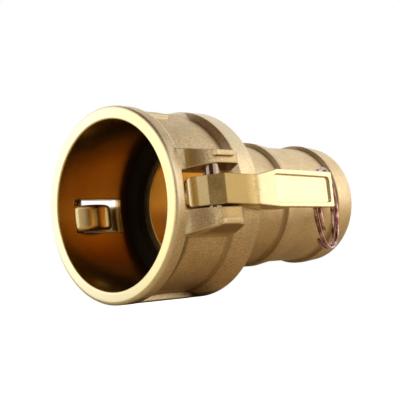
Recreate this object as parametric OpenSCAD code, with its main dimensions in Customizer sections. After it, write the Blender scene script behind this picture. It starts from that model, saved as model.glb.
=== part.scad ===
// Cam and groove hose coupling: a female socket with two cam arms, cast in one with a barbed hose shank.
// The socket axis is +X. The mouth is the plane X = 0 and faces -X. The near arm is on -Y, the far arm on +Y.

/* [Socket] */
// Bore that the mating adapter slides into
bore_d = 92.5; // [88:0.5:95]
// Depth from the mouth to the face of the gasket
socket_depth = 52.3; // [50:0.1:56]
// Outside diameter of the rim
rim_d = 107; // [106:0.5:112]
// Length of the rim band
rim_len = 8.2; // [7:0.1:9]
// Rounding of the rim's front edge
rim_round = 2; // [1:0.1:2.5]
// Outside diameter of the recessed wall between the ears
panel_d = 99.6; // [98:0.2:102]

/* [Shoulder and pads] */
// Outside diameter of the shoulder
shoulder_d = 106.4; // [104:0.2:110]
// Length of the shoulder's cylindrical band
shoulder_len = 13.4; // [11:0.2:14.4]
// Wall behind the gasket seat
seat_wall = 4.9; // [4:0.1:8]
// Outside diameter at the pad on top
pad_d = 103.4; // [102:0.2:106]
// Outside diameter at the pad below
foot_d = 106.6; // [102:0.2:107]
// Angle that each pad covers
pad_span = 35.6; // [20:0.2:44]
// Angle of each pad's middle from the vertical
pad_turn = 10.2; // [0:0.2:14]
// Distance of the upper pad's rear end from the mouth
pad_end = 28; // [24:0.5:42]

/* [Gasket] */
// Outside diameter of the gasket
gasket_od = 94.5; // [93.5:0.5:97]
// Inside diameter of the gasket
gasket_id = 76.2; // [72:0.2:80]
// Thickness of the gasket
gasket_t = 6.35; // [5:0.05:7]

/* [Hose shank] */
// Bore of the waterway
waterway_d = 65.4; // [60:0.2:66.4]
// Outside diameter of the shank between the barbs
shank_d = 71.8; // [71:0.2:74]
// Outside diameter over the barbs
barb_d = 76.2; // [75.2:0.2:79]
// Length of the whole coupling
overall_len = 170; // [164:1:182]
// Place of the first barb's step, from the mouth
first_barb = 103.6; // [98:0.2:108]
// Place of the second barb's step, from the mouth
second_barb = 151.6; // [144:0.2:154]

/* [Ears] */
// Gap between the two ears of a pair
ear_gap = 20.8; // [20.4:0.1:22]
// Width over the ears at their tops
ear_w = 40; // [37:0.5:44]
// Height of the ears above the axis
ear_h = 64; // [63:0.2:67]
// Lean of the ears' outer faces
ear_draft = 12; // [4:0.5:14]
// Lean of the upper ears' inner faces
gap_draft = 9; // [2:0.5:10]
// Length of the ears at their tops, from the mouth
ear_end = 38; // [36:0.5:40]
// Distance of the wall window's rear edge from the mouth
window_end = 46.2; // [45:0.2:48]

/* [Pivot] */
// Diameter of the pivot pin
pin_d = 8.4; // [7:0.1:9]
// Distance of the pin from the mouth
pin_x = 21.5; // [21:0.1:22.5]
// Height of the pin above the axis
pin_h = 58; // [57.6:0.1:58.6]

/* [Cam arm] */
// Radius of the cam head
cam_r = 15.5; // [15:0.1:15.7]
// Width of the arm at the cam
cam_w = 15.2; // [12:0.2:16]
// Width of the arm at the handle
handle_w = 20; // [17:0.5:23]
// Height of the handle's outer face above the axis
handle_h = 67; // [66:0.2:70]
// Thickness of the handle's plate
plate_t = 4.2; // [3.6:0.1:5]
// Depth of the rib under the plate
rib_depth = 8.8; // [8.4:0.1:10]
// Width of the rib
rib_w = 8; // [6:0.5:9]
// Distance of the handle's end from the mouth
handle_end = 110.5; // [104:0.5:118]
// Depth of the panel sunk into the handle
panel_depth = 1.3; // [0.5:0.1:2]

/* [Pull ring] */
// Wire of the pull ring
wire_d = 2.2; // [1.6:0.1:2.3]
// Outside diameter of the pull ring
ring_od = 49; // [42:0.5:54]
// Turns of wire in the ring
ring_turns = 1.95; // [1.7:0.01:1.97]
// Hole for the ring in the handle
ring_hole_d = 7.2; // [7:0.05:7.4]
// Clearance between the ring and the height of the barbs that it leans on
ring_rest = 0.3; // [0.3:0.1:2]

/* [Hidden] */
$fn = 96;
eps = 0.01;
side_gap = 1;
pin_play = 0.06;
groove_play = 0.15;
coil_gap = 0.45;

brass = [0.72, 0.58, 0.34];
bright_brass = [0.87, 0.76, 0.48];
rubber = [0.06, 0.055, 0.05];
steel = [0.78, 0.78, 0.8];
passivated = [0.72, 0.55, 0.56];

bore_r = bore_d / 2;
rim_r = rim_d / 2;
panel_r = panel_d / 2;
shoulder_r = shoulder_d / 2;
shank_r = shank_d / 2;
barb_r = barb_d / 2;
seat_x = socket_depth + gasket_t;
shoulder_end = seat_x + seat_wall;
shoulder_x = shoulder_end - shoulder_len;
slope_len = 5;
rim_drop = 1;
apron_lean = 7;
barb_step = 1.4;
barb_land = 3.4;
barb_tail = 14;
tail_round = 3.2;
last_rise = 1.1;
last_cut = 3;
boss_rise = 1.8;
boss_len = 12.6;
boss_w = 3;
boss_x = pin_x - 2.5;
ear_foot = 5.5;
flare_rise = 0.6;
ear_top_half = ear_w / 2 - 1;
pin_foot = ear_top_half - 1.5;
pin_head = ear_top_half + 0.3;
slot_low = ear_gap / 2 - 0.6;
window_low = slot_low - 0.2;
window_high = ear_gap / 2 - 0.2;
window_brow = rim_len - 2.6;
window_slant = 6.3;
wall_r = bore_r - 8;

cam_round = 2.4;
brow = [pin_x + 0.3, ear_h + 3];
cheek = brow - [6.3, 6.3];
chin = cheek - [2.6, 4.8];
lip = chin - [0.7, 4.1];
nose = lip - [2.3, 0.5];
waist = [pin_x + 25.5, ear_h];
handle_x = waist[0] + 15;
cam_x = pin_x + 4.5;
cam_h = pin_h - 3.4;
arm_z = -window_low + side_gap + cam_w / 2;
under_h = shoulder_r + 1;
plate_under = handle_h - plate_t;
rib_under = plate_under - rib_depth;
relief_x = shoulder_end + 7;
hole_x = handle_end - 6.8;
hole_h = plate_under - ring_hole_d / 2;
ring_r = (ring_od - wire_d) / 2;
ring_pitch = wire_d + coil_gap;
ring_drop = 8.7;
ring_start = -34;
ring_at_top = sqrt(pow(ring_r, 2) - pow(ring_drop + rib_w / 2, 2));
ring_at_foot = sqrt(pow(ring_r, 2) - pow(ring_drop - rib_w / 2, 2));
ring_offset = (ring_at_top + ring_at_foot) / 2;
ring_steps = round(ring_turns * 36);
ring_step = ring_turns * 360 / ring_steps;
most_lean = 45;
lean_step = 0.25;
ring_lean = lean_to_rest(0);

// Points of an arc round a centre, from one angle to another
function arc(centre, r, from, to, steps = 8) =
    [for (i = [0 : steps])
        let (a = from + (to - from) * i / steps)
        centre + r * [cos(a), sin(a)]];

// Points of a shallow bow from p to q, standing off the straight line by rise in the middle
function bow(p, q, rise, steps = 8) =
    let (along = q - p, off = [-along[1], along[0]] / norm(along))
    [for (i = [0 : steps]) p + along * i / steps + off * rise * 4 * (i / steps) * (1 - i / steps)];

// Points of a curve from p to q that leaves p and meets q along the lines through a corner
function ease(p, corner, q, steps = 10) =
    [for (i = [0 : steps])
        let (t = i / steps)
        p * pow(1 - t, 2) + corner * 2 * t * (1 - t) + q * pow(t, 2)];

// A solid turned round the socket axis from points of (radius, distance from the mouth)
module turned(points) {
    rotate([0, 90, 0])
        rotate_extrude()
            polygon(points);
}

// A plate with its outline in the plane of the axis and the height, on the near side, between two levels
module near_plate(outline, low, high) {
    translate([0, 0, low])
        linear_extrude(high - low)
            polygon([for (p = outline) [p[0], -p[1]]]);
}

// A prism along the height, on the near side, with its outline in (axis, level)
module near_prism(outline, low, high) {
    translate([0, -low, 0])
        rotate([90, 0, 0])
            linear_extrude(high - low)
                polygon(outline);
}

// Puts a copy of a near piece on the far side
module far() {
    mirror([0, 1, 0])
        children();
}

// Rim, wall, shoulder and hose shank as one turned form, still without its bores
module body_blank() {
    turned(concat(
        [[0, 0]],
        arc([rim_r - rim_round, rim_round], rim_round, -90, 0),
        [[rim_r, rim_len],
         [panel_r, rim_len + rim_drop],
         [panel_r, shoulder_x - slope_len],
         [shoulder_r, shoulder_x]],
        arc([shoulder_r - rim_round, shoulder_end - rim_round], rim_round, 0, 60),
        arc([shank_r + 6, shoulder_end + 8], 6, -90, -180),
        [[shank_r, first_barb]],
        barb(first_barb, shank_r),
        [[shank_r, second_barb]],
        barb(second_barb, barb_r - last_rise),
        arc([barb_r - last_rise - tail_round, overall_len - tail_round], tail_round, 0, 90),
        [[0, overall_len]]));
}

// Outline of one barb: a step that faces the socket, a short land and a long tail down to a radius
function barb(place, tail_r) =
    [[barb_r - 0.5, place + barb_step - 0.3],
     [barb_r, place + barb_step],
     [barb_r, place + barb_step + barb_land],
     [tail_r, place + barb_step + barb_land + (tail_r > shank_r ? barb_tail - last_cut : barb_tail)]];

// The socket's bore, the gasket groove, the seat and the waterway
module body_bore() {
    turned([
        [0, -1],
        [bore_r + 0.6, -1],
        [bore_r + 0.6, 0],
        [bore_r, 0.6],
        [bore_r, socket_depth],
        [gasket_od / 2 + groove_play, socket_depth],
        [gasket_od / 2 + groove_play, seat_x],
        [waterway_d / 2, seat_x],
        [waterway_d / 2, overall_len + 1],
        [0, overall_len + 1]]);
}

// A sector round the vertical, as wide as a pad; its sides lean in by an angle from the wall to the shoulder
module pad_sector(lean) {
    half = pad_span / 2;
    reach = 1.2 * shoulder_r;
    grow = lean * (reach - panel_r) / (shoulder_r - panel_r);
    rotate([pad_turn, 0, 0])
        rotate([90, 0, 90])
            linear_extrude(shoulder_end)
                polygon([
                    [0, 0],
                    panel_r * [sin(half), cos(half)],
                    reach * [sin(half - grow), cos(half - grow)],
                    reach * [-sin(half - grow), cos(half - grow)],
                    panel_r * [-sin(half), cos(half)]]);
}

// One pad on top, from the rim to an end
module pad(d, end) {
    intersection() {
        turned([
            [wall_r, rim_len - 1],
            [d / 2, rim_len - 1],
            [d / 2, end],
            [panel_r, end + 1],
            [wall_r, end + 1]]);
        pad_sector(0);
    }
}

// The apron with leaning sides that leads from the upper pad to the shoulder
module apron() {
    intersection() {
        turned([
            [wall_r, pad_end],
            [pad_d / 2 - 0.5, pad_end],
            [pad_d / 2, shoulder_x - slope_len],
            [shoulder_r, shoulder_x],
            [wall_r, shoulder_x]]);
        pad_sector(apron_lean);
    }
}

// Side outline of an ear: a ramp that rises from the rim and eases into a level top, and a rounded rear end
function ear_outline() = concat(
    [[rim_len - 2, wall_r]],
    ease([rim_len - 1.6, rim_r - 3.5], [pin_x - 7, ear_h + 0.2], [pin_x + 3.5, ear_h]),
    arc([ear_end - 4, ear_h - 4], 4, 90, 20),
    [[ear_end + ear_foot, panel_r],
     [ear_end + ear_foot, wall_r]]);

// The pair of ears on the near side, with leaning outer faces and a raised boss over each end of the pin
module near_ears() {
    base = ear_top_half + (ear_h - wall_r) * tan(ear_draft);
    intersection() {
        near_plate(ear_outline(), -ear_w, ear_w);
        rotate([90, 0, 90])
            linear_extrude(shoulder_end)
                polygon([
                    [-wall_r, -base],
                    [-wall_r, base],
                    [-ear_h, ear_top_half],
                    [-ear_h, -ear_top_half]]);
    }
    for (level = [-1, 1])
        near_prism(boss_outline(level), ear_h - boss_rise, ear_h + boss_rise);
}

// Plan of one boss, with a rounded rear end
function boss_outline(level) =
    let (outer = level * (ear_top_half - 0.2), inner = level * (ear_top_half - boss_w))
    concat(
        [[boss_x, inner],
         [boss_x, outer]],
        bow([boss_x + boss_len, outer], [boss_x + boss_len, inner], level * 1.2));

// Side outline of the cut that the cam swings through: its front wall leans back from the rim to the bore
function window_outline(floor) = [
    [window_brow, 2 * rim_r],
    [window_brow, rim_r],
    [window_brow + window_slant, bore_r],
    [window_brow + window_slant + 1, floor],
    [window_end, floor],
    [window_end, 2 * rim_r]];

// The window for the cam, the slot between the ears and the pin's hole, blind below, on the near side
module near_cuts() {
    slot_floor = panel_r + 0.4;
    opening = (2 * rim_r - slot_floor) * tan(gap_draft);
    near_plate(window_outline(wall_r), -window_low, window_high);
    intersection() {
        near_plate(window_outline(wall_r), -ear_w, ear_w);
        rotate([90, 0, 90])
            linear_extrude(shoulder_end)
                polygon([
                    [-slot_floor, -slot_low],
                    [-slot_floor, ear_gap / 2],
                    [-2 * rim_r, ear_gap / 2 + opening],
                    [-2 * rim_r, -slot_low]]);
    }
    translate([pin_x, -pin_h, -pin_foot - 0.1])
        cylinder(d = pin_d, h = 2 * ear_w);
}

// The whole casting: socket, ears, pads, shoulder and hose shank
module coupler_body() {
    color(brass)
        difference() {
            union() {
                body_blank();
                pad(pad_d, pad_end);
                apron();
                rotate([180, 0, 0]) pad(foot_d, shoulder_x);
                near_ears();
                far() near_ears();
            }
            body_bore();
            near_cuts();
            far() near_cuts();
        }
}

// The flat rubber ring in its groove at the bottom of the socket
module gasket() {
    color(rubber)
        turned([
            [gasket_id / 2, socket_depth + 0.02],
            [gasket_od / 2 - 0.4, socket_depth + 0.02],
            [gasket_od / 2, socket_depth + 0.42],
            [gasket_od / 2, seat_x],
            [gasket_id / 2, seat_x]]);
}

// Facets of a cam arm from the front of its head to the waist
function arm_facets() = [nose, lip, chin, cheek, brow, waist];

// Side outline of a cam arm above its head: the facets, a waist and a straight handle with its rib
function arm_outline() = concat(
    [[cam_x, cam_h - cam_r + cam_round + 1]],
    arm_facets(),
    bow([handle_x, handle_h], [handle_end - 1.2, handle_h - 0.2], 0.3),
    [[handle_end, handle_h - 1.2],
     [handle_end, plate_under],
     [handle_end - 1.2, plate_under - 0.8]],
    arc([handle_end - 4.2, rib_under + 3], 3, 0, -90),
    [[relief_x + 6, rib_under]],
    bow([relief_x + 3, rib_under - 0.1], [shoulder_end, under_h], -0.2),
    [[shoulder_x - 4, under_h],
     [cam_x + cam_r - cam_round - 1, cam_h - cam_round - 1]]);

// The round head of a cam arm, with rounded edges, under the facets
module cam_head() {
    half = cam_w / 2;
    intersection() {
        translate([cam_x, -cam_h, 0])
            rotate_extrude()
                polygon(concat(
                    [[0, -half]],
                    arc([cam_r - cam_round, -half + cam_round], cam_round, -90, 0, 5),
                    arc([cam_r - cam_round, half - cam_round], cam_round, 0, 90, 5),
                    [[0, half]]));
        near_plate(concat([[nose[0], 0]], arm_facets(), [[waist[0], 0]]), -cam_w, cam_w);
    }
}

// Plan of a cam arm: narrow at the cam, flaring to the handle, with rounded corners at the end
function arm_plan() =
    let (c = cam_w / 2, h = handle_w / 2, slim = waist[0] + 3, flare = handle_x, r = 3)
    concat(
        arc([nose[0] + cam_round, c - cam_round], cam_round, 90, 180, 5),
        arc([nose[0] + cam_round, -c + cam_round], cam_round, 180, 270, 5),
        [[slim, -c - 0.4],
         [flare, -h + 0.4]],
        arc([handle_end - r, -h + r], r, -90, 0, 6),
        arc([handle_end - r, h - r], r, 0, 90, 6),
        [[flare, h + flare_rise],
         [slim, c + 0.4]]);

// Outline of the sunk panel in the handle, which follows the taper of the handle
function panel_outline() =
    let (r = 2.2, x0 = handle_x - 2.2, x1 = handle_end - 3.6, h = handle_w / 2 - 2.6)
    concat(
        arc([x0 + r, -h + r], r, 180, 270, 6),
        arc([x1 - r, -h + r], r, 270, 360, 6),
        arc([x1 - r, h - r - flare_rise / 2], r, 0, 90, 6),
        arc([x0 + r, h - r + flare_rise], r, 90, 180, 6));

// The two hollows beside the rib, which leave the handle as a plate on a rib
module rib_hollows() {
    outline = [
        [relief_x, 0],
        [relief_x, rib_under - 1],
        [relief_x + 5, plate_under],
        [handle_end + 1, plate_under],
        [handle_end + 1, 0]];
    near_plate(outline, rib_w / 2, handle_w);
    near_plate(outline, -handle_w, -rib_w / 2);
}

// The ring's hole across the rib, opened out at both ends where the wire curves away
module ring_hole() {
    mouth = 1.2;
    translate([hole_x, -hole_h, 0]) {
        cylinder(d = ring_hole_d, h = rib_w + 1, center = true);
        for (end = [0, 180])
            rotate([end, 0, 0])
                translate([0, 0, rib_w / 2 - mouth])
                    cylinder(d1 = ring_hole_d, d2 = ring_hole_d + 0.8, h = mouth + eps);
    }
}

// One cam arm on the near side, lying on the lower ear
module near_arm_solid() {
    translate([0, 0, arm_z])
        difference() {
            union() {
                cam_head();
                intersection() {
                    near_plate(arm_outline(), -handle_w, handle_w);
                    near_prism(arm_plan(), wall_r - 10, handle_h + 10);
                }
            }
            translate([pin_x, -pin_h, -handle_w])
                cylinder(d = pin_d + 2 * pin_play, h = 2 * handle_w);
            near_prism(panel_outline(), handle_h - panel_depth, handle_h + 5);
            rib_hollows();
            ring_hole();
        }
}

module near_cam_arm() {
    color(bright_brass)
        near_arm_solid();
}

module far_cam_arm() {
    color(bright_brass)
        far() near_arm_solid();
}

// The steel pin across one pair of ears, with a small chamfer at both ends
module near_pin_solid() {
    chamfer = 0.6;
    length = pin_foot + pin_head;
    translate([pin_x, -pin_h, -pin_foot]) {
        cylinder(d1 = pin_d - 2 * chamfer, d2 = pin_d, h = chamfer);
        translate([0, 0, chamfer])
            cylinder(d = pin_d, h = length - 2 * chamfer);
        translate([0, 0, length - chamfer])
            cylinder(d1 = pin_d, d2 = pin_d - 2 * chamfer, h = chamfer);
    }
}

module near_pivot_pin() {
    color(steel)
        near_pin_solid();
}

module far_pivot_pin() {
    color(steel)
        far() near_pin_solid();
}

// Directions of a pull ring: away from its hole, and along its own axis; side is -1 near and 1 far
function ring_away(side, lean) = [cos(lean), -side * sin(lean), 0];
function ring_axis(side, lean) = cross([0, 0, 1], ring_away(side, lean));

// Direction from the ring's middle to its wire at a turn counted from the hole
function ring_out(side, lean, turn) = ring_away(side, lean) * -cos(turn) + [0, 0, 1] * sin(turn);

// Place of the wire's middle: the ring hangs a little below its hole, and its coils lie evenly to both sides
function ring_point(side, lean, turn) =
    [hole_x, side * hole_h, arm_z - ring_drop]
    + ring_away(side, lean) * ring_offset
    + ring_r * ring_out(side, lean, turn)
    + ring_axis(side, lean) * ring_pitch * (turn / 360 - 0.5);

// Least clearance of the two rings from the height of the barbs at a lean
function ring_clear(lean) =
    min([for (side = [-1, 1], i = [0 : ring_steps])
        let (p = ring_point(side, lean, ring_start + i * ring_step))
        norm([p[1], p[2]])]) - barb_r - wire_d / 2;

// The rings lean towards the shank until one of them rests on it
function lean_to_rest(lean) =
    lean >= most_lean || ring_clear(lean + lean_step) < ring_rest ? lean : lean_to_rest(lean + lean_step);

// The wire of one pull ring as one unbroken tube
module ring_wire(side) {
    sides = 8;
    turns = [for (i = [0 : ring_steps]) ring_start + i * ring_step];
    axis = ring_axis(side, ring_lean);
    loops = [for (turn = turns)
        [for (j = [0 : sides - 1])
            let (out = ring_out(side, ring_lean, turn), a = 360 * j / sides)
            ring_point(side, ring_lean, turn) + wire_d / 2 * (out * cos(a) + axis * sin(a))]];
    last = ring_steps * sides;
    polyhedron(
        points = [for (loop = loops) each loop],
        faces = concat(
            [for (j = [1 : sides - 2]) [0, j, j + 1]],
            [for (i = [0 : ring_steps - 1], j = [0 : sides - 1])
                let (a = i * sides + j, b = i * sides + (j + 1) % sides)
                each [[a, a + sides, b], [b, a + sides, b + sides]]],
            [for (j = [1 : sides - 2]) [last, last + j + 1, last + j]]));
    gaps = [for (a = turns, b = turns) if (b - a > 180)
        norm(ring_point(side, ring_lean, a) - ring_point(side, ring_lean, b)) - wire_d];
    echo(ring_lean = ring_lean, least_gap_of_the_ring_to_itself = min(gaps));
}

module near_pull_ring() {
    color(passivated)
        ring_wire(-1);
}

module far_pull_ring() {
    color(passivated)
        ring_wire(1);
}

coupler_body();
gasket();
near_cam_arm();
far_cam_arm();
near_pivot_pin();
far_pivot_pin();
near_pull_ring();
far_pull_ring();
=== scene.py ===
# %% [markdown]
# # A brass hose coupling in a white studio
# The real object is a cast brass socket with a barbed hose tail. Two cam arms swing on steel pins and carry
# split rings. Its solids come from the CAD model, so this script doesn't shape the casting again. It adds
# what CAD leaves out: the finishes, the round wire of the rings, the light and the camera.

# %% Load the solids
import math

import bmesh
import bpy
from mathutils import Matrix, Vector


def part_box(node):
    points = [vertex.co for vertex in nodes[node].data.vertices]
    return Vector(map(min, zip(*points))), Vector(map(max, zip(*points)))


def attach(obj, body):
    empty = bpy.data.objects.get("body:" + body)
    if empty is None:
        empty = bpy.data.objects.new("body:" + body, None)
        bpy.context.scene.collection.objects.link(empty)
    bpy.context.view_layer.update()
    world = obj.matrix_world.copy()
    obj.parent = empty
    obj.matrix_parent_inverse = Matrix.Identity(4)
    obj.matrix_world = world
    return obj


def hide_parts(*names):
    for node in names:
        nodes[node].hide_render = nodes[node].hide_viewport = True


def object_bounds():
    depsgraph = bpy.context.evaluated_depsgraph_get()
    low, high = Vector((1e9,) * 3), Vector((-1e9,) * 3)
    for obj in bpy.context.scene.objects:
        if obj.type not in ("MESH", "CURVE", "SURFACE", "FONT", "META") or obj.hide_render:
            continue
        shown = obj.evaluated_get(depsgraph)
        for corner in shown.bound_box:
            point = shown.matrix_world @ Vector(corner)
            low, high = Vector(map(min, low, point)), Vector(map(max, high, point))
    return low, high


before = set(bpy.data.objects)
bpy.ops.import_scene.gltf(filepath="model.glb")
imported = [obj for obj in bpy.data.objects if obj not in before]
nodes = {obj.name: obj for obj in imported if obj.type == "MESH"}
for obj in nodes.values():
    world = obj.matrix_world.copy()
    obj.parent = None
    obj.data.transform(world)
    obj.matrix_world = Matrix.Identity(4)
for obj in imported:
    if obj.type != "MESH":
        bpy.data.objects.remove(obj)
cad_box = [list(corner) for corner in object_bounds()]
scene = bpy.context.scene
scene.view_settings.view_transform = "Standard"
MM = 0.001
print("solids:", sorted(nodes))

# %% [markdown]
# ## The camera
# The place of the camera was worked out from the circles of the mouth, the gasket and the shoulder. It
# stands a little below the socket's axis and looks up, and the coupling is rolled a few degrees, so the
# camera has a roll too. Setting the three axes of the camera is plainer here than turning it by angles.

# %% Place the camera
SENSOR_WIDTH = 36
IMAGE_WIDTH = 400
FOCAL_PIXELS = 900
lens = bpy.data.cameras.new("camera")
lens.sensor_width = SENSOR_WIDTH
lens.lens = SENSOR_WIDTH * FOCAL_PIXELS / IMAGE_WIDTH
lens.clip_start = 5 * MM
camera = bpy.data.objects.new("camera", lens)
scene.collection.objects.link(camera)
scene.camera = camera
camera_place = Vector((-302.833, -372.922, -53.319)) * MM
camera_right = Vector((0.71179, -0.69446, -0.10521)).normalized()
rough_up = Vector((0.00025, -0.14954, 0.98876))
camera_back = camera_right.cross(rough_up).normalized()
camera_up = camera_back.cross(camera_right)
turn = Matrix((camera_right, camera_up, camera_back)).transposed().to_4x4()
camera.matrix_world = Matrix.Translation(camera_place) @ turn
print("camera at", [round(c, 3) for c in camera_place])

# %% [markdown]
# ## Shader maths in plain Python
# A finish is a tree of nodes. Written out node by node it is hard to read, so a socket is wrapped in a
# small class whose operators add Math nodes. Every other node comes from one method that takes its type,
# its settings and what goes into its sockets.

# %% A socket that does arithmetic
class Wire:
    """One output of a node. Adding or multiplying wires adds Math nodes to their tree."""

    def __init__(self, tree, socket):
        self.tree = tree
        self.socket = socket

    def out(self, name):
        """Another output of the same node."""
        return Wire(self.tree, self.socket.node.outputs[name])

    def math(self, operation, *terms):
        """A Math node on the terms."""
        return self.tree.node("ShaderNodeMath", {"operation": operation}, dict(enumerate(terms)))

    def __add__(self, other):
        return self.math("ADD", self, other)

    __radd__ = __add__

    def __sub__(self, other):
        return self.math("SUBTRACT", self, other)

    def __rsub__(self, other):
        return self.math("SUBTRACT", other, self)

    def __mul__(self, other):
        return self.math("MULTIPLY", self, other)

    __rmul__ = __mul__

    def __pow__(self, other):
        return self.math("POWER", self, other)

    def __abs__(self):
        return self.math("ABSOLUTE", self)

    def rise(self, low, high):
        """0 below low, 1 above high, and smooth between them; it falls where low is above high."""
        ends = {"Value": self, "From Min": low, "From Max": high}
        return self.tree.node("ShaderNodeMapRange", {"interpolation_type": "SMOOTHSTEP"}, ends)

    def band(self, start, full, fade, end):
        """0 up to start, 1 from full to fade, and 0 again from end on."""
        return self.rise(start, full) * self.rise(end, fade)


# %% A tree of nodes
class Tree:
    """The node tree of one finish."""

    def __init__(self, owner):
        owner.use_nodes = True
        self.nodes = owner.node_tree.nodes
        self.links = owner.node_tree.links
        self.nodes.clear()

    def pick(self, sockets, name):
        """A socket that is in use, by its number or its name."""
        shown = [s for s in sockets if s.enabled]
        return shown[name] if isinstance(name, int) else next(s for s in shown if s.name == name)

    def node(self, kind, settings=None, sockets=None):
        """Adds a node: its settings first, then a value or a wire for each named socket."""
        made = self.nodes.new(kind)
        for name, value in (settings or {}).items():
            setattr(made, name, value)
        for name, value in (sockets or {}).items():
            socket = self.pick(made.inputs, name)
            if isinstance(value, Wire):
                self.links.new(value.socket, socket)
            else:
                socket.default_value = value
        outputs = [s for s in made.outputs if s.enabled]
        return Wire(self, outputs[0]) if outputs else None

    def blend(self, factor, first, second):
        """One colour where factor is 0, another where it is 1."""
        return self.node("ShaderNodeMix", {"data_type": "RGBA"}, {"Factor": factor, "A": first, "B": second})

    def noise(self, place, scale, detail=2.0, rough=0.55):
        """Soft random spots; scale is the number of spots per unit of place."""
        sockets = {"Vector": place, "Scale": scale, "Detail": detail, "Roughness": rough}
        return self.node("ShaderNodeTexNoise", None, sockets)

    def streaks(self, along, detail=2.0):
        """Random lines across the direction in which along grows."""
        sockets = {"W": along, "Scale": 1.0, "Detail": detail}
        return self.node("ShaderNodeTexNoise", {"noise_dimensions": "1D"}, sockets)


print("wires and trees ready")

# %% [markdown]
# ## The studio
# The photograph has a plain white surround. A world of strength 1 is white to the camera and to what the
# metal mirrors. Other rays meet a dimmer level, so the light on the object stays plain.

# %% The white world
WHITE = (1, 1, 1, 1)
WARM_WHITE = (1, 0.97, 0.93, 1)
world = bpy.data.worlds.new("studio")
scene.world = world
sky = Tree(world)
ray = sky.node("ShaderNodeLightPath")
seen = ray.out("Is Camera Ray") + ray.out("Is Glossy Ray") + ray.out("Is Transmission Ray")
dim = sky.node("ShaderNodeBackground", None, {"Color": WARM_WHITE, "Strength": 0.75})
white = sky.node("ShaderNodeBackground", None, {"Color": WHITE, "Strength": 1.0})
surround = sky.node("ShaderNodeMixShader", None, {0: seen, 1: dim, 2: white})
sky.node("ShaderNodeOutputWorld", None, {"Surface": surround})
print("world set")

# %% [markdown]
# The floor is pale, and glows for the camera alone, so that it joins the white world and still keeps a soft
# shadow. The lower half of the brass mirrors the floor and is brown in the photograph, so the floor is
# painted darker below the part. A dark card lying there would do the same, but its edge would show.


# %% The floor
def flat_card(name, centre, normal, width, height):
    """A rectangle with its middle at centre, facing along normal."""
    mesh = bpy.data.meshes.new(name)
    corners = [(-width / 2, -height / 2, 0), (width / 2, -height / 2, 0)]
    corners += [(width / 2, height / 2, 0), (-width / 2, height / 2, 0)]
    mesh.from_pydata(corners, [], [(0, 1, 2, 3)])
    card = bpy.data.objects.new(name, mesh)
    facing = Vector(normal).to_track_quat("Z", "Y").to_matrix().to_4x4()
    card.matrix_world = Matrix.Translation(centre) @ facing
    scene.collection.objects.link(card)
    return card


MIDDLE_X = 80 * MM
FLOOR_GAP = 0.5 * MM
FLOOR_SIZE = 3
CREAM = (0.93, 0.80, 0.56, 1)
SHADED_CREAM = (0.42, 0.33, 0.21, 1)
FLOOR_GLOW = 0.9
floor_place = (MIDDLE_X, 0, cad_box[0][2] - FLOOR_GAP)
floor = flat_card("floor", floor_place, (0, 0, 1), FLOOR_SIZE, FLOOR_SIZE)
pale = bpy.data.materials.new("pale_floor")
tree = Tree(pale)
place = tree.node("ShaderNodeNewGeometry").out("Position")
floor_x = tree.node("ShaderNodeSeparateXYZ", None, {0: place})
floor_y = floor_x.out("Y")
below = floor_x.rise(-20 * MM, 20 * MM) * floor_y.band(-60 * MM, 30 * MM, 60 * MM, 100 * MM)
light = tree.node("ShaderNodeBsdfDiffuse", None, {"Color": CREAM})
shaded = tree.node("ShaderNodeBsdfDiffuse", None, {"Color": SHADED_CREAM})
matt = tree.node("ShaderNodeMixShader", None, {0: below, 1: light, 2: shaded})
glow_level = tree.node("ShaderNodeLightPath").out("Is Camera Ray") * FLOOR_GLOW
glow = tree.node("ShaderNodeEmission", None, {"Color": WHITE, "Strength": glow_level})
both = tree.node("ShaderNodeAddShader", None, {0: matt, 1: glow})
tree.node("ShaderNodeOutputMaterial", None, {"Surface": both})
floor.data.materials.append(pale)
print("floor at", round(floor.location.z, 4))

# %% [markdown]
# Metal shows what stands around it. In the photograph the facets that look back at the camera are dark,
# because the room behind a camera is dark, and the faces to its left and right are bright from large soft
# lamps. Two dark cards, behind the camera and overhead, and two lamps give the same bands. The cards don't
# show to the camera itself.

# %% The dark cards
CARD_BROWN = (0.17, 0.105, 0.05, 1)
card_paint = bpy.data.materials.new("dark_card")
tree = Tree(card_paint)
dark = tree.node("ShaderNodeBsdfDiffuse", None, {"Color": CARD_BROWN})
tree.node("ShaderNodeOutputMaterial", None, {"Surface": dark})
for name, centre, width, height in (
    ("card_behind_camera", camera_place * 1.5, 0.8, 0.9),
    ("card_overhead", Vector((0.0, -0.1, 0.55)), 0.9, 0.9),
):
    card = flat_card(name, centre, -centre, width, height)
    card.visible_camera = False
    card.visible_shadow = False
    card.data.materials.append(card_paint)
    print(name, "at", [round(c, 2) for c in centre])

# %% The lamps
LAMP_TINT = (1, 0.97, 0.9)
LAMP_AIM = Vector((MIDDLE_X, 0, 0))


def soft_lamp(name, place, size, watts):
    """A square lamp at place that shines at the middle of the part."""
    data = bpy.data.lights.new(name, "AREA")
    data.size = size
    data.energy = watts
    data.color = LAMP_TINT
    lamp = bpy.data.objects.new(name, data)
    lamp.location = place
    lamp.rotation_euler = (LAMP_AIM - Vector(place)).to_track_quat("-Z", "Y").to_euler()
    scene.collection.objects.link(lamp)


soft_lamp("lamp_right", place=(0.60, -0.55, 0.14), size=0.6, watts=0.75)
soft_lamp("lamp_left", place=(-0.50, 0.33, 0.05), size=0.7, watts=0.6)

# %% [markdown]
# ## Helpers for the finishes
# A finish could be painted on an unwrapped mesh. Here each one is worked out from the place on the part, in
# object space, so it needs no image and stays on the part when it moves. Three helpers go with them: a mask
# of the corners, which the finishes darken as painted shade and tarnish, edges that are round as on a
# casting, and edges kept bright, as wear and as painted highlight.


# %% Places, corners and edges
def new_finish(name):
    """An empty material and its tree."""
    material = bpy.data.materials.new(name)
    return material, Tree(material)


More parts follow.
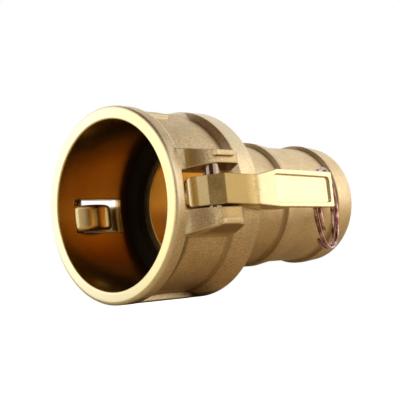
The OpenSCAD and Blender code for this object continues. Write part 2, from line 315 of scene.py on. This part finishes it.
def place_in_mm(tree):
    """The place on the part in millimetres, as one vector and as three numbers."""
    where = tree.node("ShaderNodeTexCoord").out("Object")
    scaled = tree.node("ShaderNodeVectorMath", {"operation": "SCALE"}, {"Vector": where, "Scale": 1 / MM})
    parts = tree.node("ShaderNodeSeparateXYZ", None, {0: scaled})
    return scaled, parts.out("X"), parts.out("Y"), parts.out("Z")


def metal(tree, color, roughness, normal):
    """A metal shader with what varies over the surface."""
    sockets = {"Base Color": color, "Roughness": roughness, "Metallic": 1.0, "Normal": normal}
    shader = tree.node("ShaderNodeBsdfPrincipled", None, sockets)
    tree.node("ShaderNodeOutputMaterial", None, {"Surface": shader})


def hollows(tree, reach_mm):
    """1 deep in a corner and 0 in the open; the finishes darken it as painted shade and tarnish."""
    light = tree.node("ShaderNodeAmbientOcclusion", {"samples": 8}, {"Distance": reach_mm * MM}).out("AO")
    in_the_open = 0.88
    in_a_corner = 0.35
    return light.rise(in_the_open, in_a_corner)


def round_edges(tree, radius_mm):
    """Normals that run round an edge, as on a casting, in place of a knife edge."""
    return tree.node("ShaderNodeBevel", {"samples": 6}, {"Radius": radius_mm * MM})


def worn_and_highlit_edges(tree, rounded, hollow):
    """1 on an outer edge, kept bright as wear and as painted highlight, and 0 on the flats and in the
    corners.
    """
    flat = tree.node("ShaderNodeNewGeometry").out("Normal")
    product = tree.node("ShaderNodeVectorMath", {"operation": "DOT_PRODUCT"}, {0: rounded, 1: flat})
    cosine = product.out("Value")
    on_a_flat = 0.99
    on_an_edge = 0.88
    return cosine.rise(on_a_flat, on_an_edge) * (1 - hollow)


def bumps(tree, height, strength, depth_mm, normal=None):
    """Small bumps on a surface, on top of the normals that it already has."""
    sockets = {"Strength": strength, "Distance": depth_mm * MM, "Height": height}
    if normal is not None:
        sockets["Normal"] = normal
    return tree.node("ShaderNodeBump", None, sockets)


print("helpers ready")

# %% [markdown]
# ## Cast brass
# The casting was bead blasted, which leaves a fine even grain, and then turned on the mouth, in the bore
# and in the waterway. One finish holds all of this: masks from the distance to the axis and to the mouth
# tell the turned faces from the blasted skin. All places are in millimetres, on the edges of the CAD model
# or just beside them.

# %% Masks of the turned faces
SOCKET_RADIUS = 47.6
SOCKET_DEPTH = 58.5
WATERWAY_RADIUS = 33.1
FACE_DEPTH = 0.15
SOFT = 0.3
cast_brass, tree = new_finish("cast_brass")
mm, x, y, z = place_in_mm(tree)
from_axis = (y * y + z * z) ** 0.5
face = x.rise(FACE_DEPTH + 0.35, FACE_DEPTH)
in_socket = from_axis.rise(SOCKET_RADIUS + SOFT, SOCKET_RADIUS) * x.rise(SOCKET_DEPTH + SOFT, SOCKET_DEPTH)
in_waterway = from_axis.rise(WATERWAY_RADIUS + SOFT, WATERWAY_RADIUS)
turned = in_socket.math("MAXIMUM", in_socket, in_waterway)
print("turned: face, socket and waterway")

# %% [markdown]
# In the photograph the rim, the shoulder and the flanks of the pads are pale, and dark lines lie behind the
# rim, at the foot of the slope up to the shoulder and at the steps of the barbs. Ambient occlusion finds
# such corners by itself, but only faintly where they are wide open, so these few get masks of their own.

# %% Masks of the bright forms: wear and painted highlights
# The rim and its rounded lip are paler all round, as wear and in part as painted highlight. The rim's rear
# edge, the shoulder, the top of the slope and the pad flanks are painted highlights, on the upper side only.
RIM_END = 8.2
RIM_RADIUS = 53.5
RIM_ROUND = 2.0
SHOULDER_START = 50.15
SHOULDER_RADIUS = 53.2
SLOPE_START = 45.15
PAD_END = 28.0
PAD_HALF_ANGLE = math.radians(28)
# heights between which a mask fades in, from the lower to the upper
EDGE_FADE = (24, 34)
SHOULDER_FADE = (0, 45)
SLOPE_FADE = (42, 50)
FLANK_FADE = (20, 30)
on_rim = x.rise(RIM_END + SOFT, RIM_END) * from_axis.rise(RIM_RADIUS - 1.5, RIM_RADIUS - 0.5)
rim_lip = x.rise(RIM_ROUND + 0.8, RIM_ROUND - 0.4) * from_axis.rise(RIM_RADIUS - 4.5, RIM_RADIUS - 3.5)
rim_edge_highlight = x.rise(RIM_END - 0.9, RIM_END - 0.4) * on_rim * z.rise(*EDGE_FADE)
shoulder_band = from_axis.rise(SHOULDER_RADIUS - 0.3, SHOULDER_RADIUS - 0.1)
shoulder_highlight = shoulder_band * x.rise(SHOULDER_START - 0.25, SHOULDER_START + 0.05) * z.rise(*SHOULDER_FADE)
slope_band = x.band(SLOPE_START - 0.65, SLOPE_START + 0.35, SHOULDER_START - 0.15, SHOULDER_START + 0.25)
slope_highlight = slope_band * z.rise(*SLOPE_FADE)
from_flank = abs(abs(y) - z * math.tan(PAD_HALF_ANGLE))
pad_flank_highlight = from_flank.rise(0.3, 0.15) * z.rise(*FLANK_FADE) * x.rise(PAD_END + 0.2, PAD_END)
print("bright: rim, shoulder, slope and pad flanks")

# %% Masks of the painted shade lines in the corners
# These masks paint shade lines into the corners behind the rim, at the foot of the slope and at the steps of
# the barbs; behind the rim the line spreads wider on the lower side.
PANEL_RADIUS = 49.8
BARB_STEPS = (103.8, 151.8)
BARB_LINE = (1.9, 0.5)
LOW_SPREAD = 5
low_spread = LOW_SPREAD * z.rise(-5, -20)
line_behind = x.rise(RIM_END - 0.2, RIM_END + 0.1) * (x - low_spread).rise(RIM_END + 2.8, RIM_END + 0.4)
behind_rim = line_behind * from_axis.rise(PANEL_RADIUS + 1.7, PANEL_RADIUS + 0.7)
foot_band = x.band(SLOPE_START - 3.65, SLOPE_START + 0.05, SLOPE_START + 0.25, SLOPE_START + 3.35)
slope_foot = foot_band * from_axis.rise(PANEL_RADIUS + 1.4, PANEL_RADIUS + 0.6)
barb_foot = sum(abs(x - step).rise(*BARB_LINE) for step in BARB_STEPS)
print("dark: behind the rim, at the slope and at", len(BARB_STEPS), "barbs")

# %% [markdown]
# The ears that hold the pins, and the ramps up to them, get painted shade, more on the lower ear and on the
# ramp of the upper ear. Their undersides get the darkest painted shade, most of all in the gap between the
# two ears of a pair. A mask by place alone would also catch the upper sides, so the direction that a face
# looks in tells them apart. The slot's rear wall is a cut face, and it is painted paler, as painted light.

# %% Masks of the ears and the slot
EAR_GAP = 20.8
EAR_RISE = (17, 22)
EAR_SPAN = (16, 20, 49, 50)
WINDOW_END = 46.2
upper = z.rise(-5, 5)
on_ears = from_axis.rise(RIM_RADIUS + 1.0, RIM_RADIUS + 4.5) * x.rise(*EAR_RISE)
ramp_length = x.band(RIM_END + 0.1, RIM_END + 0.8, RIM_END + 2.3, RIM_END + 7.8)
on_ramp = from_axis.rise(RIM_RADIUS - 0.4, RIM_RADIUS + 0.2) * ramp_length
looks = tree.node("ShaderNodeTexCoord").out("Normal")
looks_up = tree.node("ShaderNodeSeparateXYZ", None, {0: looks}).out("Z")
above_rim = from_axis.rise(RIM_RADIUS - 1.0, RIM_RADIUS + 0.5)
under_ears = looks_up.rise(-0.5, -0.9) * above_rim * x.band(*EAR_SPAN)
between_ears = under_ears * z.rise(5, 8)
in_gap = abs(z).rise(EAR_GAP / 2 - 0.05, EAR_GAP / 2 - 0.1)
in_wall = abs(y).rise(SOCKET_RADIUS, SOCKET_RADIUS + SOFT)
in_slot = in_gap * in_wall * x.band(WINDOW_END - 1.7, WINDOW_END - 0.7, WINDOW_END + 0.1, WINDOW_END + 0.4)
print("masks of the casting:", len(tree.nodes), "nodes")

# %% [markdown]
# The turned faces carry fine ridges from the tool. The bore is painted darker towards the gasket and on its
# lower side, and the waterway a little, as painted shade; near the mouth it is more golden. Noise that
# changes only with the distance from the mouth and from the axis makes the ridges. Rings cut into the mesh
# would be too fine to see at this size.

# %% Colour of the turned faces
TURNED_DARK = (0.75, 0.48, 0.11, 1)
TURNED_LIGHT = (0.83, 0.53, 0.13, 1)
BORE_SHADE_BROWN = (0.40, 0.20, 0.04, 1)
MOUTH_GOLD = (1.0, 0.70, 0.22, 1)
WATERWAY_BRASS = (0.76, 0.48, 0.18, 1)
RIDGES_PER_MM = 0.35
BORE_SHADE_DEPTH = (22, 50)
BORE_SHADE_HEIGHT = (-6, -22)
GOLD_DEPTH = (20, 3)
ridges = tree.streaks((x + from_axis) * RIDGES_PER_MM)
turned_color = tree.blend(ridges, TURNED_DARK, TURNED_LIGHT)
# Painted shade: the bore darker deep in and on its lower side, the waterway a little.
bore_shade = in_socket * (z.rise(*BORE_SHADE_HEIGHT) * 0.2 + x.rise(*BORE_SHADE_DEPTH) * 0.75) + in_waterway * 0.25
turned_color = tree.blend(bore_shade, turned_color, BORE_SHADE_BROWN)
turned_color = tree.blend(in_socket * x.rise(*GOLD_DEPTH) * 0.6, turned_color, MOUTH_GOLD)
turned_color = tree.blend(in_waterway * 0.6, turned_color, WATERWAY_BRASS)
print("turned faces coloured")

# %% [markdown]
# The blasted skin is a grain of light and dark specks over a slow mottle, softer on the shank than on the
# socket. Then come the painted shade in the corners and on the ears, and the bright edges and painted
# highlights, one blend after the other, so that each can be read and changed alone.

# %% Colour of the blasted skin
SHOULDER_END = 63.55
SKIN_DARK = (0.62, 0.45, 0.22, 1)
SKIN_LIGHT = (1.0, 0.79, 0.49, 1)
SHADE_AND_TARNISH_BROWN = (0.22, 0.12, 0.04, 1)
EAR_SHADE_BROWN = (0.36, 0.20, 0.04, 1)
UNDERSIDE_SHADE_BROWN = (0.20, 0.09, 0.02, 1)
RUBBED_AND_HIGHLIGHT_BRASS = (1.0, 0.90, 0.64, 1)
SLOT_PAINTED_LIGHT_BRASS = (1.0, 0.88, 0.56, 1)
FLANK_HIGHLIGHT_BRASS = (1.0, 0.90, 0.66, 1)
grain = tree.noise(mm, scale=1.25, detail=2.0, rough=0.6)
mottle = tree.noise(mm, scale=0.09, detail=3.0)
coarse = 1 - 0.45 * x.rise(SHOULDER_END - 1.55, SHOULDER_END + 4.45)
skin = (grain - 0.5) * coarse * 2.0 + (mottle - 0.5) * 0.6 + 0.5
cast_color = tree.blend(skin.rise(0.0, 1.0), SKIN_DARK, SKIN_LIGHT)
shade_and_tarnish = hollows(tree, reach_mm=4) * (1 - slope_highlight)
rounded = round_edges(tree, radius_mm=1.2)
edges = worn_and_highlit_edges(tree, rounded, shade_and_tarnish)
# Painted shade, with some tarnish, darkens the corners, and painted shade lines follow the corners below.
cast_color = tree.blend(shade_and_tarnish * 0.75, cast_color, SHADE_AND_TARNISH_BROWN)
corner_shade_lines = behind_rim * 0.65 + slope_foot * (1 - slope_highlight) * 0.45 + barb_foot * 0.5
cast_color = tree.blend(corner_shade_lines, cast_color, SHADE_AND_TARNISH_BROWN)
# Painted shade on the ears: more on the lower ear, and on the ramp of the upper ear.
ear_shade = on_ears * (0.66 - 0.36 * upper) + on_ramp * (0.3 + 0.55 * upper)
cast_color = tree.blend(ear_shade, cast_color, EAR_SHADE_BROWN)
# Painted highlights on the upper side, with the rim paler as wear.
rubbed_and_highlit = on_rim * 0.2 + rim_lip * 0.4 + rim_edge_highlight * 0.6 + shoulder_highlight * 0.7 + slope_highlight * 0.7
cast_color = tree.blend(rubbed_and_highlit, cast_color, RUBBED_AND_HIGHLIGHT_BRASS)
# Edges brightened as wear and as painted highlight.
cast_color = tree.blend(edges * 0.9, cast_color, RUBBED_AND_HIGHLIGHT_BRASS)
# Painted shade on the undersides of the ears, darkest between the two ears of a pair.
cast_color = tree.blend(under_ears * 0.35 + between_ears * 0.6, cast_color, UNDERSIDE_SHADE_BROWN)
# The slot's rear wall is painted paler, as painted light.
cast_color = tree.blend(in_slot, cast_color, SLOT_PAINTED_LIGHT_BRASS)
# Painted highlight on the pad flanks.
cast_color = tree.blend(pad_flank_highlight, cast_color, FLANK_HIGHLIGHT_BRASS)
print("blasted skin coloured")

# %% Put the casting's finish together
FACE_PALE = (0.97, 0.90, 0.62, 1)
FACE_GOLD = (0.95, 0.84, 0.45, 1)
FACE_REFLECTION_FADE = (20, -45)
# Painted reflection: the mouth face turns more golden towards the near side.
face_color = tree.blend(y.rise(*FACE_REFLECTION_FADE), FACE_PALE, FACE_GOLD)
color = tree.blend(turned, cast_color, turned_color)
color = tree.blend(face, color, face_color)
skin_roughness = 0.33 + 0.18 * grain
roughness = skin_roughness * (1 - turned) * (1 - in_slot) + turned * 0.26 + in_slot * 0.4
roughness = roughness * (1 - face) + face * 0.3
blasted = grain * coarse * (1 - turned) * (1 - face)
rough_skin = bumps(tree, blasted, strength=0.6, depth_mm=0.16, normal=rounded)
metal(tree, color, roughness, rough_skin)
print("cast brass:", len(tree.nodes), "nodes")

# %% [markdown]
# ## Arm brass
# The arms are forged or die cast, then tumbled bright, so they are smoother and paler than the body. A weak
# grain is left on the head and the bar, up to the waist. The nose, the cam and the back of the bar are
# polished smoothest, and the pale colour of the nose, the front of the cam and the back of the bar is partly
# painted highlight. The facet between chin and cheek is painted lighter and the bar from the brow to the
# waist darker, as painted light and shade. One colour for the whole arm would lose this, so places along the
# arm, at rest, tell the zones apart.

# %% Zones of the arms
LIP_X = 12.2
CHIN_X = 12.9
CHEEK_X = 15.5
BROW_X = 21.8
WAIST_X = 47.0
CAM_TOP = 53.0
CAM_FRONT = (19.0, 16.0)
BAR_BACK = 54.5
BAR_START = (30.0, 36.0)
arm_brass, tree = new_finish("arm_brass")
mm, x, y, _ = place_in_mm(tree)
from_middle = abs(y)
nose = x.rise(LIP_X + 0.15, LIP_X - 0.15)
cam = from_middle.rise(CAM_TOP, CAM_TOP - 3.0)
cam_front = cam * x.rise(*CAM_FRONT)
bar_back = from_middle.rise(BAR_BACK + 0.7, BAR_BACK) * x.rise(*BAR_START)
polished = (nose + cam + bar_back).rise(0.0, 1.0)
lit_facet = x.band(CHIN_X - 0.2, CHIN_X + 0.1, CHEEK_X - 0.1, CHEEK_X + 0.2)
bar_shade = x.band(BROW_X - 0.3, BROW_X + 0.4, WAIST_X - 9.0, WAIST_X)
print("zones of the arms:", len(tree.nodes), "nodes")

# %% Finish of the arms
BRIGHT_DARK = (0.86, 0.70, 0.38, 1)
BRIGHT_LIGHT = (0.96, 0.83, 0.50, 1)
GRAIN_DARK = (0.48, 0.33, 0.12, 1)
GRAIN_LIGHT = (0.80, 0.60, 0.28, 1)
ARM_SHADE_AND_TARNISH = (0.25, 0.13, 0.04, 1)
grain = tree.noise(mm, scale=1.6, detail=3.0, rough=0.6)
mottle = tree.noise(mm, scale=0.12, detail=2.0)
skin = (x + (grain - 0.5) * 8).rise(WAIST_X + 3.5, WAIST_X + 1.5)
tone = ((grain - 0.5) * 1.8 * skin + (mottle - 0.5) * 0.8 + 0.5).rise(0.0, 1.0)
bright_color = tree.blend(tone, BRIGHT_DARK, BRIGHT_LIGHT)
skin_color = tree.blend(tone, GRAIN_DARK, GRAIN_LIGHT)
arm_color = tree.blend(skin, bright_color, skin_color)
# Painted light and shade: the bar darker, the facet lighter, and the nose, the front of the cam and the back
# of the bar paler as painted highlight; the last zone darkens corners as painted shade and tarnish.
for zone, zone_color in (
    (bar_shade * 0.8, (0.42, 0.28, 0.09, 1)),
    (lit_facet * 0.5, (0.92, 0.74, 0.40, 1)),
    (nose, (1.0, 0.94, 0.70, 1)),
    (cam, (0.86, 0.58, 0.20, 1)),
    (cam_front, (1.0, 0.79, 0.40, 1)),
    (bar_back, (1.0, 0.92, 0.66, 1)),
    (hollows(tree, reach_mm=3) * 0.45 * (1 - polished), ARM_SHADE_AND_TARNISH),
):
    arm_color = tree.blend(zone, arm_color, zone_color)
arm_roughness = (0.2 + 0.16 * skin + 0.1 * mottle) * (1 - 0.4 * polished - 0.3 * nose)
arm_roughness = arm_roughness + 0.2 * cam_front * x.rise(CHIN_X + 0.7, CHIN_X + 1.5)
arm_grain = grain * (0.2 + 0.8 * skin) * (1 - 0.8 * polished)
arm_bumps = bumps(tree, arm_grain, strength=0.35, depth_mm=0.1, normal=round_edges(tree, radius_mm=1.0))
metal(tree, arm_color, arm_roughness, arm_bumps)
print("arm brass:", len(tree.nodes), "nodes")

# %% [markdown]
# ## Rubber and steel
# The gasket is a dull black moulding with a little dust, so it gets a weak gloss that changes with the
# dust. The pins are ground steel, nearly a mirror, with fine scratches round them. The rings are passivated
# wire with a pink cast, dark between the turns. Noise in a few sizes is enough for all three, because they
# are small in the picture.

# %% Finish of the gasket
RUBBER_BLACK = (0.006, 0.005, 0.003, 1)
RUBBER_DUSTY = (0.018, 0.014, 0.009, 1)
gasket_rubber, tree = new_finish("gasket_rubber")
mm = place_in_mm(tree)[0]
dust = tree.noise(mm, scale=0.5, detail=4.0)
rubber = {
    "Base Color": tree.blend(dust, RUBBER_BLACK, RUBBER_DUSTY),
    "Roughness": 0.5 + 0.2 * dust,
    "Specular IOR Level": 0.15,
}
shader = tree.node("ShaderNodeBsdfPrincipled", None, rubber)
tree.node("ShaderNodeOutputMaterial", None, {"Surface": shader})
print("rubber:", len(tree.nodes), "nodes")

# %% Finish of the pins
STEEL_DARK = (0.28, 0.20, 0.15, 1)
STEEL_LIGHT = (0.52, 0.39, 0.30, 1)
SCRATCHES_PER_MM = 3.0
pin_steel, tree = new_finish("pin_steel")
z = place_in_mm(tree)[3]
scratch = tree.streaks(z * SCRATCHES_PER_MM, detail=3.0)
pin_color = tree.blend(scratch, STEEL_DARK, STEEL_LIGHT)
metal(tree, pin_color, 0.06 + 0.06 * scratch, round_edges(tree, radius_mm=0.3))
print("pin steel:", len(tree.nodes), "nodes")

# %% Finish of the rings
WIRE_DARK = (0.26, 0.08, 0.07, 1)
WIRE_PINK = (0.84, 0.54, 0.49, 1)
WIRE_SHADE = (0.10, 0.02, 0.02, 1)
ring_steel, tree = new_finish("ring_steel")
mm = place_in_mm(tree)[0]
haze = tree.noise(mm, scale=0.25, detail=2.0)
ring_color = tree.blend(haze.rise(0.35, 0.65), WIRE_DARK, WIRE_PINK)
ring_color = tree.blend(hollows(tree, reach_mm=3) * 0.85, ring_color, WIRE_SHADE)
ring_marks = bumps(tree, tree.noise(mm, scale=2.0), strength=0.05, depth_mm=0.05)
metal(tree, ring_color, 0.04 + 0.06 * haze, ring_marks)
print("ring steel:", len(tree.nodes), "nodes")

# %% Put the finishes on the solids
finish_of = {
    "coupler_body": cast_brass,
    "gasket": gasket_rubber,
    "near_cam_arm": arm_brass,
    "far_cam_arm": arm_brass,
    "near_pivot_pin": pin_steel,
    "far_pivot_pin": pin_steel,
}
for name, finish in finish_of.items():
    mesh = nodes[name].data
    mesh.materials.clear()
    mesh.materials.append(finish)
print("finishes on", len(finish_of), "solids")

# %% [markdown]
# ## The pull rings
# Each is a split ring: nearly two turns of round wire side by side. The CAD wire has eight sides, which is
# enough for a collision but shows as facets. The same centre line is swept again here with more sides and
# with rounded ends. The numbers are those of the CAD source, in millimetres.

# %% Sweep a wire along a line
WIRE_SIDES = 20
DOME_ANGLES = [math.radians(degrees) for degrees in (75, 55, 35, 15)]


def swept_wire(name, centres, sides_out, axis, radius):
    """A round tube through centres; sides_out holds the outward direction at each centre."""
    shape = bmesh.new()
    loops = []
    angles = [2 * math.pi * k / WIRE_SIDES for k in range(WIRE_SIDES)]

    def loop(centre, out, size):
        spokes = [out * math.cos(a) + axis * math.sin(a) for a in angles]
        loops.append([shape.verts.new(centre + size * spoke) for spoke in spokes])

    start = (centres[0] - centres[1]).normalized()
    end = (centres[-1] - centres[-2]).normalized()
    crown = 0.5 * radius
    for a in DOME_ANGLES:
        loop(centres[0] + start * crown * math.sin(a), sides_out[0], radius - crown + crown * math.cos(a))
    for centre, out in zip(centres, sides_out):
        loop(centre, out, radius)
    for a in reversed(DOME_ANGLES):
        loop(centres[-1] + end * crown * math.sin(a), sides_out[-1], radius - crown + crown * math.cos(a))
    for one, two in zip(loops, loops[1:]):
        for k in range(WIRE_SIDES):
            after = (k + 1) % WIRE_SIDES
            shape.faces.new((one[k], one[after], two[after], two[k]))
    shape.faces.new(loops[0])
    shape.faces.new(loops[-1])
    bmesh.ops.recalc_face_normals(shape, faces=shape.faces)
    mesh = bpy.data.meshes.new(name)
    shape.to_mesh(mesh)
    shape.free()
    mesh.polygons.foreach_set("use_smooth", [True] * len(mesh.polygons))
    wire = bpy.data.objects.new(name, mesh)
    scene.collection.objects.link(wire)
    return wire


# %% Make the two rings
RING_HOLE = (103.7, 59.2, -1.0)
RING_LEAN = math.radians(23.5)
RING_DROP = 8.7
RIB_WIDTH = 8
WIRE = 2.2
RING_RADIUS = 23.4
RING_PITCH = 2.65
RING_START = -34
RING_TURNS = 1.95
RING_STEPS = 160
at_top = math.sqrt(RING_RADIUS**2 - (RING_DROP + RIB_WIDTH / 2) ** 2)
at_foot = math.sqrt(RING_RADIUS**2 - (RING_DROP - RIB_WIDTH / 2) ** 2)
up = Vector((0, 0, 1))


def pull_ring(side_name, side):
    """The split ring of one arm; side is -1 for the near arm and 1 for the far one."""
    away = Vector((math.cos(RING_LEAN), -side * math.sin(RING_LEAN), 0))
    axis = up.cross(away)
    hole = Vector((RING_HOLE[0], side * RING_HOLE[1], RING_HOLE[2]))
    centre = hole - up * RING_DROP + away * (at_top + at_foot) / 2
    centres = []
    outs = []
    for i in range(RING_STEPS + 1):
        degrees = RING_START + 360 * RING_TURNS * i / RING_STEPS
        a = math.radians(degrees)
        out = away * -math.cos(a) + up * math.sin(a)
        outs.append(out)
        centres.append((centre + RING_RADIUS * out + axis * RING_PITCH * (degrees / 360 - 0.5)) * MM)
    ring = swept_wire(side_name + "_split_ring", centres, outs, axis, WIRE / 2 * MM)
    ring.data.materials.append(ring_steel)
    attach(ring, side_name + "_ring")
    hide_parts(side_name + "_pull_ring")
    low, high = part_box(side_name + "_pull_ring")
    print(ring.name, "CAD box", [round(v / MM, 1) for v in (*low, *high)])
    points = [v.co for v in ring.data.vertices]
    print("  ring box", [round(f(p[k] for p in points) / MM, 1) for f in (min, max) for k in range(3)])


pull_ring("near", -1)
pull_ring("far", 1)
